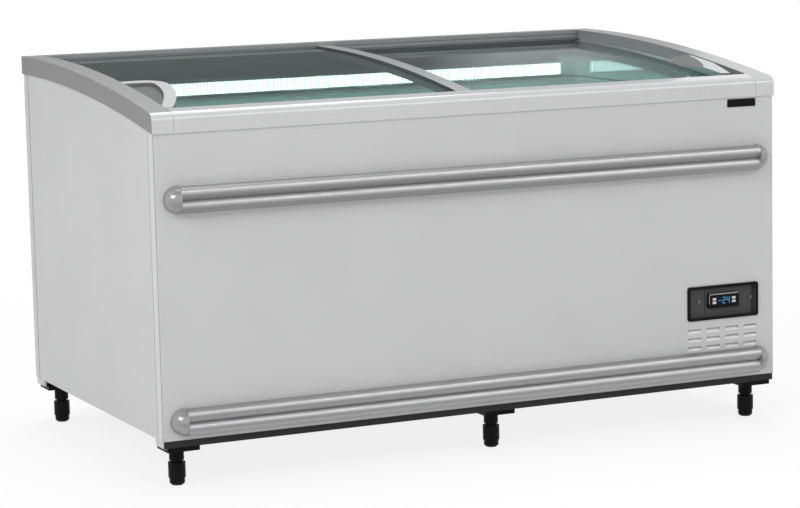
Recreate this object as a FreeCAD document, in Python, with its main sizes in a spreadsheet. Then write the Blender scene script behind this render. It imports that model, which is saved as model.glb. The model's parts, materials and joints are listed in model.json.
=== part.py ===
"""Island freezer: an insulated tub on six levelling feet, closed by two curved sliding glass lids.

Millimetres. The origin lies on the floor under the middle of the overall box. +X runs along the cabinet, to
the right of someone who faces its front, +Y runs from the front to the back and +Z is up. The frame round
the top is part of one large cylinder along X, the crown, level at the back and falling towards the front.
"""
import FreeCAD
import Part
import Sketcher
import math
import os
import re

# Driving sizes

SIZES = {
    # cabinet
    "length": 1500,
    "depth": 880,
    "rear_height": 866,
    "crown_drop": 75,
    "floor_gap": 104,
    "skin": 1,
    "wall": 80,
    "panel_seam": 0.8,
    "front_return": 33,
    "rear_return": 29,
    # frame round the top
    "frame_height": 41,
    "frame_tuck": 6,
    "overhang": 3,
    "strip_width": 48,
    "rail_width": 43,
    "rail_wall": 3,
    "nose_radius": 20,
    "rail_end_gap": 0.6,
    "groove_depth": 2.5,
    "groove_height": 2.5,
    "groove_pitch": 10,
    "collar_drop": 60,
    "collar_lip": 4,
    "collar_cover": 18,
    # tub and machine room
    "machine_length": 280,
    "machine_height": 286,
    "hump_wall": 40,
    # lids
    "lid_drop": 12,
    "lid_step": 16,
    "glass": 4,
    "bar_half": 18,
    "bar_proud": 4,
    "bar_under": 2,
    "bar_wall": 2,
    "edge_width": 12,
    "edge_cover": 2,
    "lid_end_gap": 2,
    "lid_side_gap": 2,
    "track_step": 14,
    "runner_width": 10,
    "runner_height": 6,
    "run_gap": 0.3,
    "track_lip": 3,
    "lip_gap": 4,
    "brush_width": 6,
    # lid grips
    "grip_rim_drop": 2,
    "grip_wall": 28,
    "grip_corner": 45,
    "grip_back": 104,
    "grip_front_gap": 10,
    "grip_width": 94,
    "grip_lean": 77,
    "grip_floor": 1.5,
    "lip_back": 45,
    "lip_foot": 12,
    "lip_top": 22,
    "lip_reach": 45,
    # light
    "light_end_gap": 42,
    "light_height": 44,
    "light_depth": 13,
    "light_below_collar": 11,
    "lens_depth": 5,
    "lens_height": 28,
    # bumpers
    "bumper_below_skirt": 139,
    "bumper_above_base": 39,
    "bumper_inset": 16,
    "bumper_half": 27.5,
    "bumper_core": 18,
    "ridge_radius": 15,
    "ridge_out": 13,
    "ridge_offset": 13.5,
    "bumper_wall": 2.5,
    "cap_length": 32,
    "cap_out": 33,
    "cap_half": 30,
    # controls
    "bezel_inset": 41,
    "bezel_width": 188,
    "bezel_above_base": 140,
    "bezel_height": 78.5,
    "bezel_rim": 7,
    "bezel_corner": 6,
    "bezel_proud": 3,
    "tray_wall": 3,
    "tray_recess": 8,
    "tray_floor": 2,
    "surround_width": 94,
    "surround_height": 58,
    "surround_proud": 1.5,
    "controller_corner": 2.5,
    "controller_width": 80,
    "controller_height": 34,
    "controller_offset": 3,
    "controller_proud": 9,
    "controller_body_width": 71,
    "controller_body_height": 29,
    "controller_body_depth": 47,
    "control_gap": 0.3,
    "display_width": 38,
    "display_height": 20,
    "display_depth": 1.5,
    "button_width": 9,
    "button_height": 5.5,
    "button_spread": 26,
    "button_rise": 4,
    "button_proud": 1,
    "button_length": 4.8,
    "button_travel": 0.8,
    "screw_spread": 69,
    "screw_offset": 6,
    "screw_head": 8,
    "screw_head_height": 3,
    "screw_shank": 3.5,
    # louvres
    "louvre_inset": 44.5,
    "louvre_below_bezel": 19.5,
    "louvre_width": 35,
    "louvre_height": 9,
    "louvre_in": 6,
    "louvre_pitch": 49.5,
    "louvre_row": 20,
    # name plate, blank
    "plate_width": 74,
    "plate_height": 18,
    "plate_inset": 46,
    "plate_drop": 4,
    "plate_thickness": 1.5,
    "plate_corner": 2,
    # base and feet
    "channel_height": 15,
    "channel_width": 40,
    "channel_wall": 1.5,
    "channel_setback": 2,
    "channel_end": 8,
    "cross_setback": 60,
    "base_cap": 6,
    "base_cap_length": 52,
    "base_cap_height": 16,
    "base_strip": 1,
    "base_strip_end": 1,
    "foot_inset_x": 45,
    "foot_inset_y": 49,
    "foot_middle": 40,
    "bracket_size": 72,
    "bracket_lap": 2,
    "bracket_plate": 10,
    "socket_radius": 16,
    "socket_length": 25,
    "thread_radius": 12,
    "thread_gap": 0.05,
    "thread_end_gap": 6,
    "sleeve_radius": 18.5,
    "sleeve_top": 49,
    "sleeve_step": 16,
    "toe_radius": 16.5,
    "toe_chamfer": 4.5,
    # machine room
    "condenser_setback": 78,
    "condenser_depth": 56,
    "condenser_width": 236,
    "condenser_height": 220,
    "condenser_above_base": 21,
    "machine_inset": 138,
    "tube_radius": 4.5,
    "fin_thickness": 0.8,
    "shroud_thickness": 3,
    "fan_radius": 98,
    "fan_clearance": 8,
    "hub_radius": 27,
    "hub_length": 34,
    "blade_thickness": 2,
    "blade_width": 52,
    "blade_angle": 32,
    "shaft_radius": 4,
    "shaft_gap": 0.05,
    "motor_radius": 38,
    "motor_length": 58,
    "motor_gap": 6,
    "bracket_bar": 16,
    "bracket_sheet": 3,
    "compressor_inset": 290,
    "compressor_radius": 82,
    "compressor_rise": 92,
    "compressor_stand": 110,
    "flange_out": 5,
    "flange_height": 9,
    "compressor_plate": 4,
    "compressor_plate_length": 210,
    "compressor_plate_width": 150,
    "grommet_radius": 13,
    "grommet_height": 16,
    "relay_width": 62,
    "relay_depth": 34,
    "relay_height": 70,
    "grille_length": 250,
    "grille_height": 222,
    "grille_above_base": 46,
    "grille_lap": 12,
    "grille_sheet": 1.5,
    "slot_height": 8,
    "slot_pitch": 18,
    "slot_margin": 20,
    "gland_radius": 11,
    "gland_neck": 6,
    "gland_length": 16,
    "gland_collar": 4,
    "gland_above_base": 18,
    "gland_inset": 250,
}

# Counts and the bend of a grip

LOUVRE_COLUMNS = 4
LOUVRE_ROWS = 3
FIN_COUNT = 18
TUBE_COLUMNS = 2
TUBE_ROWS = 6
BLADE_COUNT = 5
SLOT_COUNT = 11
LEAN_STEPS = 6
LEAN_BEND = 1.7

doc = FreeCAD.newDocument("island_freezer")
dims = doc.addObject("Spreadsheet::Sheet", "dims")
for row, (alias, size) in enumerate(SIZES.items(), start=1):
    dims.set("A%d" % row, alias)
    dims.set("B%d" % row, str(size))
    dims.setAlias("B%d" % row, alias)
doc.recompute()

ALIAS = re.compile(r"[a-z][a-z_]*")

# Places that many pieces share, as expressions of the sizes

CROWN_RADIUS = "((depth ^ 2 + crown_drop ^ 2) / (2 * crown_drop))"
CROWN_Y = "(depth / 2)"
CROWN_Z = f"(rear_height - {CROWN_RADIUS})"
SEAT = f"({CROWN_RADIUS} - frame_height + frame_tuck)"
SKIRT = f"({CROWN_RADIUS} - frame_height)"
COLLAR = f"({CROWN_RADIUS} - collar_drop)"
HALF_LENGTH = "(length / 2)"
HALF_DEPTH = "(depth / 2)"
OUT_X = "(length / 2 + overhang)"
OUT_Y = "(depth / 2 + overhang)"
IN_X = "(length / 2 + overhang - strip_width)"
IN_Y = "(depth / 2 + overhang - rail_width)"
TUB_X = "(length / 2 - wall)"
TUB_Y = "(depth / 2 - wall)"
TUB_FLOOR = "(floor_gap + skin + wall)"
MACHINE_X = "(length / 2 - machine_length)"
MACHINE_TOP = "(floor_gap + machine_height)"
HUMP_TOP = "(floor_gap + machine_height + hump_wall)"
HUMP_X = "(length / 2 - machine_length - hump_wall)"
MACHINE_MIDDLE = "(length / 2 - machine_inset)"
ABOVE = "(rear_height + frame_height)"
FACE = f"(-{HALF_DEPTH})"
ORIGIN_SHIFT = "((cap_out - gland_collar) / 2)"

LEFT = -1
RIGHT = 1

pieces = []


def tied(expression):
    """The expression with every named size pointing at its cell."""
    def cell(word):
        name = word.group()
        return "dims." + name if name in SIZES else name
    return ALIAS.sub(cell, str(expression))


def bind(item, prop, expression):
    item.setExpression(prop, tied(expression))


def place(item, x, y, z):
    """Tie a position, given from the middle of the cabinet, to the origin under the overall box."""
    for side, expression in zip("xyz", (x, f"({y}) + {ORIGIN_SHIFT}", z)):
        bind(item, "Placement.Base." + side, expression)


def span(side, near, far):
    """Limits between two distances from the middle, on the left or the right."""
    return (near, far) if side == RIGHT else (f"-({far})", f"-({near})")


def both(half):
    """Limits that lie evenly about the middle."""
    return f"-({half})", half


def about(middle, width):
    """Limits a width apart about a middle."""
    return f"({middle}) - ({width}) / 2", f"({middle}) + ({width}) / 2"


def wider(limits, gap):
    """Limits moved apart by a gap at each end."""
    return f"({limits[0]}) - ({gap})", f"({limits[1]}) + ({gap})"


def box(name, x, y, z):
    """A block between two limits on each axis."""
    block = doc.addObject("Part::Box", name)
    place(block, x[0], y[0], z[0])
    for prop, (low, high) in (("Length", x), ("Width", y), ("Height", z)):
        bind(block, prop, f"({high}) - ({low})")
    return block


def rod(name, axis, start, radius, length):
    """A cylinder along one axis from its start point."""
    cylinder = doc.addObject("Part::Cylinder", name)
    turns = {
        "x": FreeCAD.Rotation(FreeCAD.Vector(0, 1, 0), 90),
        "y": FreeCAD.Rotation(FreeCAD.Vector(1, 0, 0), -90),
        "z": FreeCAD.Rotation(),
    }
    cylinder.Placement = FreeCAD.Placement(FreeCAD.Vector(), turns[axis])
    place(cylinder, *start)
    bind(cylinder, "Radius", radius)
    bind(cylinder, "Height", length)
    return cylinder


def rounded_plate(name, x, y, z, radius):
    """A plate facing the front with its four corners rounded."""
    inner_x = wider(x, f"-{radius}")
    inner_z = wider(z, f"-{radius}")
    wide = box(name + "_wide", x, y, inner_z)
    tall = box(name + "_tall", inner_x, y, z)
    corners = [
        rod(f"{name}_corner_{across}_{up}", "y", (inner_x[across], y[0], inner_z[up]), radius,
            f"({y[1]}) - ({y[0]})")
        for across in (0, 1) for up in (0, 1)
    ]
    return fuse(name, wide, tall, *corners)


def cut(name, base, *tools):
    result = doc.addObject("Part::Cut", name)
    result.Base = base
    result.Tool = tools[0] if len(tools) == 1 else fuse(name + "_tools", *tools)
    return result


def fuse(name, *parts):
    result = doc.addObject("Part::MultiFuse", name)
    result.Shapes = list(parts)
    result.Refine = True
    return result


def common(name, *parts):
    result = doc.addObject("Part::MultiCommon", name)
    result.Shapes = list(parts)
    return result


def group(name, *parts):
    result = doc.addObject("Part::Compound", name)
    result.Links = list(parts)
    return result


def piece(label, item):
    """Name a finished sub-part."""
    item.Label = label
    pieces.append(item)
    return item


def on_crown(radius, y):
    """Height of a circle about the crown's axis at one depth."""
    return f"({CROWN_Z} + sqrt(({radius}) ^ 2 - (({y}) - {CROWN_Y}) ^ 2))"


def under_crown(name, x, radius):
    """Everything inside a circle about the crown's axis, between two lengths."""
    return rod(name, "x", (x[0], CROWN_Y, CROWN_Z), radius, f"({x[1]}) - ({x[0]})")


def band(name, x, y, outer, inner):
    """A curved slab between two circles about the crown's axis."""
    block = box(name + "_block", x, y, ("floor_gap", ABOVE))
    whole = under_crown(name + "_outer", x, outer)
    core = under_crown(name + "_inner", x, inner)
    return common(name, block, cut(name + "_ring", whole, core))


def profile(name, points, x):
    """A straight extrusion along X of an outline in the depth and height plane."""
    body = doc.addObject("PartDesign::Body", name)
    sketch = body.newObject("Sketcher::SketchObject", name + "_outline")
    plane = next(item for item in body.Origin.OriginFeatures if item.Role == "YZ_Plane")
    sketch.AttachmentSupport = (plane, [""])
    sketch.MapMode = "FlatFace"
    bind(sketch, "AttachmentOffset.Base.z", x[0])
    place(body, "0", "0", "0")
    outline(sketch, points)
    pad = body.newObject("PartDesign::Pad", name + "_pad")
    pad.Profile = sketch
    bind(pad, "Length", f"({x[1]}) - ({x[0]})")
    return body


def outline(sketch, points):
    """A closed outline of straight lines whose corners are tied to expressions."""
    count = len(points)
    rough = [
        FreeCAD.Vector(math.cos(2 * math.pi * turn / count), math.sin(2 * math.pi * turn / count), 0)
        for turn in range(count)
    ]
    lines = [
        sketch.addGeometry(Part.LineSegment(rough[corner], rough[(corner + 1) % count]), False)
        for corner in range(count)
    ]
    for corner in range(count):
        sketch.addConstraint(Sketcher.Constraint("Coincident", lines[corner - 1], 2, lines[corner], 1))
    for corner, place_of_corner in enumerate(points):
        for kind, start, expression in zip(("DistanceX", "DistanceY"), rough[corner], place_of_corner):
            index = sketch.addConstraint(Sketcher.Constraint(kind, -1, 1, lines[corner], 1, start))
            sketch.setExpression("Constraints[%d]" % index, tied(expression))


# Cabinet skins, insulation and tub


def build_skins():
    """Sheet steel outside: front and rear panels wrap the corners and the side panels lie between them."""
    height = ("floor_gap", ABOVE)
    inside_x = both(f"{HALF_LENGTH} - skin")
    crown = under_crown("skin_crown", both(OUT_X), SEAT)
    front_y = (f"-{HALF_DEPTH}", f"-{HALF_DEPTH} + front_return")
    front = cut(
        "front_sheet",
        box("front_outside", both(HALF_LENGTH), front_y, height),
        box("front_inside", inside_x, (f"{front_y[0]} + skin", f"{front_y[1]} + wall"), height),
    )
    front = common("front_under_crown", front, crown)
    pressed = fuse("front_pressed", front, *louvres("louvre_shell", "skin"))
    piece("front_panel", cut("front_cut", pressed, control_hole(), *louvres("louvre_pocket", "0")))

    rear_y = (f"{HALF_DEPTH} - rear_return", HALF_DEPTH)
    rear = cut(
        "rear_sheet",
        box("rear_outside", both(HALF_LENGTH), rear_y, height),
        box("rear_inside", inside_x, (f"{rear_y[0]} - wall", f"{rear_y[1]} - skin"), height),
    )
    rear = common("rear_under_crown", rear, under_crown("rear_crown", both(OUT_X), SEAT))
    piece("rear_panel", cut("rear_cut", rear, grille_hole(), gland_hole()))

    side_y = (f"{front_y[1]} + panel_seam", f"{rear_y[0]} - panel_seam")
    for side, word in ((LEFT, "left"), (RIGHT, "right")):
        sheet = box(word + "_sheet", span(side, f"{HALF_LENGTH} - skin", HALF_LENGTH), side_y, height)
        side_crown = under_crown(word + "_crown", both(OUT_X), SEAT)
        piece(word + "_side_panel", common(word + "_side", sheet, side_crown))

    piece("bottom_panel", box("bottom_sheet", inside_x, both(f"{HALF_DEPTH} - skin"),
                              ("floor_gap", "floor_gap + skin")))


def louvres(word, grow):
    """Louvres pressed inwards and open at the top: their air pockets or, one skin larger, their shells."""
    made = []
    left = f"{HALF_LENGTH} - louvre_inset - louvre_width - {LOUVRE_COLUMNS - 1} * louvre_pitch"
    top = f"{BEZEL_Z[0]} - louvre_below_bezel"
    limits = {
        "Xmin": f"-{grow}", "Xmax": f"louvre_width + {grow}",
        "X2min": f"-{grow}", "X2max": f"louvre_width + {grow}",
        "Ymin": "0", "Ymax": f"louvre_in + {grow}",
        "Zmin": f"-{grow}", "Zmax": "louvre_height",
        "Z2min": f"louvre_height - skin - {grow}", "Z2max": "louvre_height",
    }
    for row in range(LOUVRE_ROWS):
        for column in range(LOUVRE_COLUMNS):
            wedge = doc.addObject("Part::Wedge", "%s_%d_%d" % (word, row, column))
            low = f"{top} - {row} * louvre_row - louvre_height"
            place(wedge, f"{left} + {column} * louvre_pitch", FACE, low)
            for prop, expression in limits.items():
                bind(wedge, prop, expression)
            made.append(wedge)
    return made


def build_insulation():
    """Foam between the skins and the liner, with the tub and the machine room left out of it."""
    block = box("foam_block", both(f"{HALF_LENGTH} - skin"), both(f"{HALF_DEPTH} - skin"),
                ("floor_gap + skin", ABOVE))
    block = common("foam_crowned", block, under_crown("foam_crown", both(OUT_X), SEAT))
    over_collar = cut(
        "over_collar",
        box("collar_space", both(IN_X), both(IN_Y), (HUMP_TOP, ABOVE)),
        under_crown("collar_crown", both(OUT_X), COLLAR),
    )
    machine = box("machine_space", (MACHINE_X, HALF_LENGTH), both(HALF_DEPTH), ("floor_gap", MACHINE_TOP))
    piece("insulation_foam", cut("foam", block, over_collar, machine, *tub_spaces("foam_tub", "skin")))


def tub_spaces(name, grow):
    """The tub's inside, grown by a skin on request: full length over the machine room, shorter below it."""
    side = f"{TUB_X} + {grow}"
    depth = both(f"{TUB_Y} + {grow}")
    upper = box(name + "_upper", both(side), depth, (f"{HUMP_TOP} - {grow}", ABOVE))
    short = (f"-({side})", f"{HUMP_X} + {grow}")
    lower = box(name + "_lower", short, depth, (f"{TUB_FLOOR} - {grow}", ABOVE))
    return upper, lower


def build_liner():
    """The tub's sheet liner, up to the collar."""
    outside = fuse("liner_outside", *tub_spaces("liner_out", "skin"))
    inside = fuse("liner_inside", *tub_spaces("liner_in", "0"))
    liner = cut("liner_shell", outside, inside)
    piece("tub_liner", common("liner", liner, under_crown("liner_crown", both(OUT_X), COLLAR)))


# Frame round the top


def nose(name, x):
    """Everything behind the rounded front edge of the frame."""
    centre_y = f"-{OUT_Y} + nose_radius"
    centre_z = f"{on_crown(CROWN_RADIUS, centre_y)} - nose_radius"
    behind = box(name + "_behind", x, (centre_y, OUT_Y), ("floor_gap", ABOVE))
    below = box(name + "_below", x, (f"-{OUT_Y}", centre_y), ("floor_gap", centre_z))
    edge = rod(name + "_edge", "x", (x[0], centre_y, centre_z), "nose_radius", f"({x[1]}) - ({x[0]})")
    return fuse(name, behind, below, edge)


def build_frame():
    """Two end frames, a front rail between them with a rounded nose, and a rear rail."""
    for side, word in ((LEFT, "left"), (RIGHT, "right")):
        x = span(side, IN_X, OUT_X)
        inner_x = span(side, f"{IN_X} - overhang", HALF_LENGTH)
        blank = band(word + "_frame_blank", x, both(OUT_Y), CROWN_RADIUS, SKIRT)
        seat = common(
            word + "_frame_seat",
            box(word + "_frame_over", inner_x, both(HALF_DEPTH), ("floor_gap", ABOVE)),
            under_crown(word + "_frame_seat_crown", inner_x, SEAT),
        )
        shaped = common(word + "_frame_shaped", blank, nose(word + "_nose", x))
        piece(word + "_end_frame", cut(word + "_frame", shaped, seat))

    x = both(f"{IN_X} - rail_end_gap")
    for word, near, far in (("front", f"-{OUT_Y}", f"-{IN_Y}"), ("rear", IN_Y, OUT_Y)):
        skirt_y = (near, f"-{HALF_DEPTH}") if word == "front" else (HALF_DEPTH, far)
        section = fuse(
            word + "_rail_section",
            band(word + "_rail_main", x, (near, far), CROWN_RADIUS, SEAT),
            band(word + "_rail_skirt", x, skirt_y, CROWN_RADIUS, SKIRT),
        )
        if word == "front":
            section = common("front_rail_shaped", section, nose("rail_nose", x))
        bore_y = (f"{near} + 2 * rail_wall + overhang", f"{far} - rail_wall - overhang")
        bore_top = f"{CROWN_RADIUS} - 2 * rail_wall"
        bore = band(word + "_rail_bore", x, bore_y, bore_top, f"{SEAT} + rail_wall")
        inner = far if word == "front" else near
        groove_y = (inner, f"{inner} + groove_depth")
        if word == "front":
            groove_y = (f"{inner} - groove_depth", inner)
        grooves = []
        for number in (1, 2):
            middle = f"({on_crown(CROWN_RADIUS, inner)} - {number} * groove_pitch)"
            grooves.append(box(f"{word}_groove_{number}", x, groove_y, about(middle, "groove_height")))
        piece(word + "_rail", cut(word + "_rail_hollow", section, bore, *grooves))


# Lid tracks and collar

UPPER_OUT = f"({CROWN_RADIUS} - lid_drop)"
UPPER_IN = f"({CROWN_RADIUS} - lid_drop - glass)"
LOWER_OUT = f"({CROWN_RADIUS} - lid_drop - lid_step)"
LOWER_IN = f"({CROWN_RADIUS} - lid_drop - lid_step - glass)"
UPPER_Y = f"({IN_Y} - lid_side_gap)"
LOWER_Y = f"({UPPER_Y} - track_step)"


def ledge(inner, y):
    """Height of the track under a lid's runner."""
    return f"({on_crown(inner, y)} - runner_height)"


def build_collar():
    """A stepped track for both lids along the front and the back, and a plain collar at each end."""
    for word, sign in (("front", "-"), ("rear", "")):
        upper_edge = f"{sign}{UPPER_Y}"
        lower_edge = f"{sign}{LOWER_Y}"
        back = f"{sign}{IN_Y}"
        step = f"{sign}({UPPER_Y} - runner_width - lid_side_gap)"
        lip_out = f"{sign}({LOWER_Y} - runner_width - lip_gap)"
        lip_in = f"{sign}({TUB_Y} - collar_lip)"
        high = ledge(UPPER_IN, upper_edge)
        low = ledge(LOWER_IN, lower_edge)
        points = [
            (back, f"{on_crown(COLLAR, back)} + run_gap / 2"),
            (back, high),
            (step, high),
            (step, low),
            (lip_out, low),
            (lip_out, f"{low} + track_lip"),
            (lip_in, f"{low} + track_lip"),
            (lip_in, f"{on_crown(COLLAR, lip_in)} + run_gap / 2"),
        ]
        piece(word + "_track", profile(word + "_track_body", points, both(IN_X)))
    inner_y = f"({TUB_Y} - collar_lip)"
    for side, word in ((LEFT, "left"), (RIGHT, "right")):
        x = span(side, f"{TUB_X} - collar_lip", IN_X)
        top = f"{COLLAR} + collar_cover"
        piece(word + "_collar", band(word + "_collar_band", x, both(inner_y), top, COLLAR))


# Sliding lids


def build_lid(word, side, outer, inner, half_y):
    """A curved glass lid with a bar on its meeting end, a thin edge on its outer end and two runners."""
    end = f"({IN_X} - lid_end_gap)"

    def lid_x(from_middle, from_end):
        """Limits from a distance past the middle to a distance short of the outer end."""
        return span(side, f"-bar_half + {from_middle}", f"{end} - {from_end}")

    y = both(half_y)
    slot = band(word + "_slot", lid_x("bar_wall", "edge_cover"), y, outer, inner)
    piece(word + "_lid_glass", band(word + "_glass", lid_x("bar_wall", "edge_cover"), y, outer, inner))

    bar_x = span(side, "-bar_half", "bar_half")
    bar = band(word + "_bar_blank", bar_x, y, f"{outer} + bar_proud", f"{inner} - bar_under")
    piece(word + "_lid_bar", cut(word + "_bar", bar, slot))

    edge_x = span(side, f"{end} - edge_width", end)
    edge = band(word + "_edge_blank", edge_x, y, f"{outer} + edge_cover", f"{inner} - edge_cover")
    edge_slot = band(word + "_edge_slot", lid_x("bar_wall", "edge_cover"), y, outer, inner)
    piece(word + "_lid_edge", cut(word + "_edge", edge, edge_slot))

    runner_x = lid_x("2 * bar_half", "edge_width")
    runners = []
    for place_word, sign in (("front", "-"), ("rear", "")):
        limits = (f"{half_y} - runner_width", half_y)
        if place_word == "front":
            limits = (f"-{half_y}", f"-{half_y} + runner_width")
        low = f"{ledge(inner, sign + half_y)} + run_gap"
        block = box(word + place_word + "_runner_block", runner_x, limits, (low, ABOVE))
        crown = under_crown(word + place_word + "_runner_crown", runner_x, inner)
        runners.append(common(word + place_word + "_runner", block, crown))
    piece(word + "_lid_runners", group(word + "_runner_pair", *runners))


GRIP_END = f"({IN_X} - lid_end_gap)"
GRIP_TOP = f"({CROWN_RADIUS} - grip_rim_drop)"


def edge_room(name, side, outer, y):
    """The space that a lid's outer edge takes above its glass."""
    return band(name, span(side, f"{GRIP_END} - edge_width", GRIP_END), y, f"{outer} + edge_cover", outer)


def build_ring_grip():
    """A finger grip on the upper lid's outer front corner: a curved wall round a shallow floor."""
    reach = f"({GRIP_END} - grip_width)"
    corner_x = f"({reach} + grip_corner)"
    corner_y = "(-grip_back - grip_corner)"
    front = f"(-({UPPER_Y} - grip_front_gap))"
    upright = ("floor_gap", ABOVE)
    rod_start = (f"-{corner_x}", corner_y, "floor_gap")

    def leaning(inset):
        """The wall's line from its corner to the front, bending towards the lid's end."""
        shares = [step / LEAN_STEPS for step in range(LEAN_STEPS + 1)]
        return [
            (f"-({reach} + grip_lean * {share ** LEAN_BEND} + {inset})",
             f"{corner_y} + ({front} - {corner_y}) * {share}")
            for share in shares
        ]

    back_wall = box("grip_back_wall", span(LEFT, corner_x, GRIP_END),
                    ("-grip_back - grip_wall", "-grip_back"), upright)
    corner_rod = rod("grip_corner_out", "z", rod_start, "grip_corner", f"{ABOVE} - floor_gap")
    corner_bore = rod("grip_corner_in", "z", rod_start, "grip_corner - grip_wall", f"{ABOVE} - floor_gap")
    quarter = box("grip_quarter", span(LEFT, reach, corner_x), (corner_y, "-grip_back"), upright)
    corner = cut("grip_corner_wall", common("grip_quarter_rod", corner_rod, quarter), corner_bore)
    lean = slab("grip_lean_wall", leaning("0") + leaning("grip_wall")[::-1])
    x = span(LEFT, reach, GRIP_END)
    y = (front, "-grip_back")
    wall = fuse("grip_wall_whole", back_wall, corner, lean)
    wall = common("grip_ring", wall, band("grip_band", x, y, GRIP_TOP, UPPER_OUT))
    floor = slab("grip_floor_plan", [
        (f"-{GRIP_END}", "-grip_back - grip_wall / 2"),
        (f"-{corner_x}", "-grip_back - grip_wall / 2"),
        *leaning("grip_wall / 2"),
        (f"-{GRIP_END}", front),
    ])
    floor_band = band("grip_floor_band", x, y, f"{UPPER_OUT} + grip_floor", UPPER_OUT)
    whole = fuse("ring_grip_whole", wall, common("grip_dish", floor, floor_band))
    piece("left_lid_grip", cut("ring_grip", whole, edge_room("ring_edge_room", LEFT, UPPER_OUT, y)))


def cross_section(name, y, points):
    """A closed outline across the cabinet at one depth."""
    sketch = doc.addObject("Sketcher::SketchObject", name)
    sketch.Placement = FreeCAD.Placement(FreeCAD.Vector(), FreeCAD.Rotation(FreeCAD.Vector(1, 0, 0), 90))
    place(sketch, "0", y, "0")
    outline(sketch, points)
    return sketch


def build_lip_grip():
    """A finger grip on the lower lid's outer front corner: a lip that rises from the lid's edge and leans
    over the glass towards the front."""
    front = f"(-({LOWER_Y} - grip_front_gap))"
    rise = "(lid_drop + lid_step - grip_rim_drop)"
    sections = []
    for word, y, foot_x, top_x in (
        ("back", "(-lip_back)", GRIP_END, f"({GRIP_END} + lip_top)"),
        ("front", front, f"({GRIP_END} - lip_foot)", f"({GRIP_END} - lip_reach)"),
    ):
        low = f"({on_crown(LOWER_OUT, y)} - {rise} / 2)"
        high = f"({low} + 2 * {rise})"
        far_foot = f"({foot_x} + lip_foot)"
        far_top = f"({top_x} + lip_top)"
        sections.append(cross_section("lip_" + word, y, [
            (f"{foot_x} - ({top_x} - {foot_x}) / 2", low),
            (f"{top_x} + ({top_x} - {foot_x}) / 2", high),
            (f"{far_top} + ({far_top} - {far_foot}) / 2", high),
            (f"{far_foot} - ({far_top} - {far_foot}) / 2", low),
        ]))
    loft = doc.addObject("Part::Loft", "lip_loft")
    loft.Sections = sections
    loft.Solid = True
    loft.Ruled = True
    x = (f"{GRIP_END} - grip_width", GRIP_END)
    y = (front, "-lip_back")
    lip = common("lip", loft, band("lip_band", x, y, GRIP_TOP, LOWER_OUT))
    piece("right_lid_grip", cut("lip_grip", lip, edge_room("lip_edge_room", RIGHT, LOWER_OUT, y)))


def slab(name, points):
    """An upright prism over an outline in plan."""
    body = doc.addObject("PartDesign::Body", name)
    sketch = body.newObject("Sketcher::SketchObject", name + "_outline")
    plane = next(item for item in body.Origin.OriginFeatures if item.Role == "XY_Plane")
    sketch.AttachmentSupport = (plane, [""])
    sketch.MapMode = "FlatFace"
    bind(sketch, "AttachmentOffset.Base.z", "floor_gap")
    place(body, "0", "0", "0")
    outline(sketch, points)
    pad = body.newObject("PartDesign::Pad", name + "_pad")
    pad.Profile = sketch
    bind(pad, "Length", f"{ABOVE} - floor_gap")
    return body


def build_lids():
    build_lid("left", LEFT, UPPER_OUT, UPPER_IN, UPPER_Y)
    build_lid("right", RIGHT, LOWER_OUT, LOWER_IN, LOWER_Y)
    build_ring_grip()
    build_lip_grip()
    # a brush on the lower lid's bar closes the gap under the upper lid's bar
    brush_x = ("-bar_half", "-bar_half + brush_width")
    piece("lid_brush_seal", band("brush_band", brush_x, both(LOWER_Y), f"{UPPER_IN} - bar_under - run_gap",
                                 f"{LOWER_OUT} + bar_proud"))


# Inside light


def build_light():
    """A light strip along the back of the tub under the collar."""
    top = f"({on_crown(COLLAR, TUB_Y)} - light_below_collar)"
    x = both(f"{TUB_X} - light_end_gap")
    channel = box("light_block", x, (f"{TUB_Y} - light_depth", TUB_Y), (f"{top} - light_height", top))
    middle = f"({top} - light_height / 2)"
    lens_z = (f"{middle} - lens_height / 2", f"{middle} + lens_height / 2")
    lens_y = (f"{TUB_Y} - light_depth - lens_depth / 2", f"{TUB_Y} - light_depth + lens_depth / 2")
    lens_slot = box("light_slot", x, lens_y, lens_z)
    piece("light_channel", cut("light_channel_cut", channel, lens_slot))
    piece("light_lens", box("light_lens_block", x, lens_y, lens_z))


# Bumpers


def bumper_section(name, x, height, shrink):
    """Two round ridges on a flat core, all of it in front of the panel."""
    face = f"-{HALF_DEPTH}"
    low = f"{height} - bumper_half + {shrink}"
    high = f"{height} + bumper_half - {shrink}"
    core = box(name + "_core", x, (f"{face} - bumper_core + {shrink}", f"{face} - {shrink}"), (low, high))
    ridges = [
        rod(name + word, "x", (x[0], f"{face} - ridge_out", f"{height} {offset}"),
            f"ridge_radius - {shrink}", f"({x[1]}) - ({x[0]})")
        for word, offset in (("_upper_ridge", "+ ridge_offset"), ("_lower_ridge", "- ridge_offset"))
    ]
    space = box(name + "_space", x, (f"{face} - bumper_core * 3", f"{face} - {shrink}"),
                (f"{low} - ridge_radius", f"{high} + ridge_radius"))
    return common(name, fuse(name + "_section", core, *ridges), space)


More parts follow.
